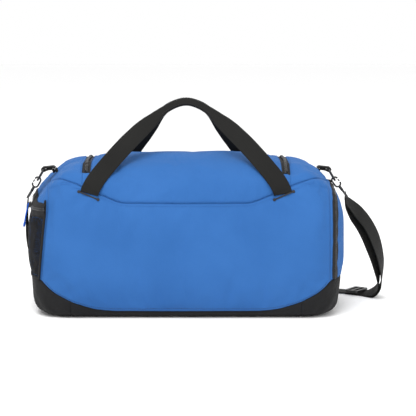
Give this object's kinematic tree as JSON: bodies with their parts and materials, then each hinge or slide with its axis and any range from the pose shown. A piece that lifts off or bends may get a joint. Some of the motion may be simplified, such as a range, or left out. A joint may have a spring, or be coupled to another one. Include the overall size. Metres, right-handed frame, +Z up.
{
  "type": "duffel bag",
  "caption": "Soft sports duffel with a zipped U-shaped lid, webbing carry handles, a mesh end pocket, a zipped end pocket and a clip-on shoulder strap.",
  "frame": {"origin": "centre of the base where the bag rests", "axes": "+X along the bag, -Y is the front, +Z up"},
  "size_m": [0.6288, 0.2714, 0.3613],
  "materials": {
    "blue_fabric": "woven polyester",
    "black_fabric": "woven polyester",
    "black_mesh": "open mesh",
    "base_board": "matt sheet",
    "lining": "plain lining",
    "zipper_tape": "herringbone tape",
    "zipper_teeth": "nylon coil",
    "zipper_slider": "satin black",
    "blue_cord": "braided cord",
    "black_webbing": "woven webbing",
    "black_thread": "dense stitching",
    "black_hardware": "satin moulded"
  },
  "bodies": {
    "bag": {"front_panel": "blue_fabric", "back_panel": "blue_fabric", "front_yoke": "blue_fabric", "rear_yoke": "blue_fabric", "left_yoke": "blue_fabric", "right_yoke": "blue_fabric", "left_end_panel": "blue_fabric", "right_end_panel": "blue_fabric", "base_panel": "black_fabric", "left_boot": "black_fabric", "right_boot": "black_fabric", "mesh_pocket": "black_mesh", "base_board": "base_board", "end_pocket_liner": "lining", "body_zipper_tape": "zipper_tape", "mesh_zipper_tape": "zipper_tape", "end_zipper_tape": "zipper_tape", "body_zipper_teeth": "zipper_teeth", "left_ring_tab": "black_webbing", "right_ring_tab": "black_webbing", "strap_doubled": "black_webbing", "shoulder_strap": "black_webbing", "front_handle_tacks": "black_thread", "rear_handle_tacks": "black_thread", "left_d_ring": "black_hardware", "right_d_ring": "black_hardware", "left_hook": "black_hardware", "right_hook": "black_hardware", "left_hook_eye": "black_hardware", "right_hook_eye": "black_hardware", "tri_glide": "black_hardware"},
    "lid": {"lid_panel": "blue_fabric", "lid_zipper_tape": "zipper_tape", "lid_zipper_teeth": "zipper_teeth"},
    "front_handle": {"front_handle": "black_webbing"},
    "rear_handle": {"rear_handle": "black_webbing"},
    "left_main_slider": {"left_main_slider": "zipper_slider"},
    "right_main_slider": {"right_main_slider": "zipper_slider"},
    "left_main_pull": {"left_main_pull": "blue_cord"},
    "right_main_pull": {"right_main_pull": "blue_cord"},
    "mesh_slider": {"mesh_slider": "zipper_slider"},
    "mesh_pull": {"mesh_pull": "blue_cord"},
    "end_slider": {"end_slider": "zipper_slider"},
    "end_pull": {"end_pull": "blue_cord"},
    "left_gate": {"left_hook_gate": "black_hardware"},
    "right_gate": {"right_hook_gate": "black_hardware"}
  },
  "joints": [
    {"name": "lid_open", "type": "hinge", "parent": "bag", "child": "lid", "pos_m": [0, -0.088, 0.2394], "axis": [1, 0, 0], "range_deg": [0, 100]},
    {"name": "front_handle_drop", "type": "hinge", "parent": "bag", "child": "front_handle", "pos_m": [0, -0.115, 0.206], "axis": [1, 0, 0], "range_deg": [0, 100]},
    {"name": "rear_handle_drop", "type": "hinge", "parent": "bag", "child": "rear_handle", "pos_m": [0, 0.115, 0.206], "axis": [-1, 0, 0], "range_deg": [0, 170]},
    {"name": "left_main_zip", "type": "slide", "parent": "lid", "child": "left_main_slider", "axis": [-1, 0, 0], "range_m": [0, 0.045]},
    {"name": "right_main_zip", "type": "slide", "parent": "lid", "child": "right_main_slider", "axis": [1, 0, 0], "range_m": [0, 0.045]},
    {"name": "left_main_pull_swing", "type": "hinge", "parent": "left_main_slider", "child": "left_main_pull", "pos_m": [-0.008, 0.08295, 0.24943], "axis": [1, 0, 0], "range_deg": [0, 120]},
    {"name": "right_main_pull_swing", "type": "hinge", "parent": "right_main_slider", "child": "right_main_pull", "pos_m": [0.008, 0.08295, 0.24943], "axis": [1, 0, 0], "range_deg": [0, 120]},
    {"name": "mesh_zip", "type": "slide", "parent": "bag", "child": "mesh_slider", "axis": [0, 1, 0], "range_m": [0, 0.04]},
    {"name": "mesh_pull_swing", "type": "hinge", "parent": "mesh_slider", "child": "mesh_pull", "pos_m": [-0.26271, -0.052, 0.18389], "axis": [0, 1, 0], "range_deg": [0, 90]},
    {"name": "end_zip", "type": "slide", "parent": "bag", "child": "end_slider", "axis": [0, 0, 1], "range_m": [0, 0.1]},
    {"name": "end_pull_swing", "type": "hinge", "parent": "end_slider", "child": "end_pull", "pos_m": [0.24476, 0.11231, 0.084], "axis": [0.8329, -0.5534, 0], "range_deg": [0, 90]},
    {"name": "left_gate_press", "type": "hinge", "parent": "bag", "child": "left_gate", "pos_m": [-0.25913, 0, 0.2151], "axis": [0, 1, 0], "range_deg": [0, 20], "stiffness_Nm_per_rad": 0.002},
    {"name": "right_gate_press", "type": "hinge", "parent": "bag", "child": "right_gate", "pos_m": [0.25957, 0, 0.21612], "axis": [0, -1, 0], "range_deg": [0, 20], "stiffness_Nm_per_rad": 0.002}
  ],
  "couplings": [
    {"joint": "front_handle_drop", "follows": "lid_open", "ratio": 1},
    {"joint": "rear_handle_drop", "follows": "lid_open", "ratio": 1.7}
  ]
}
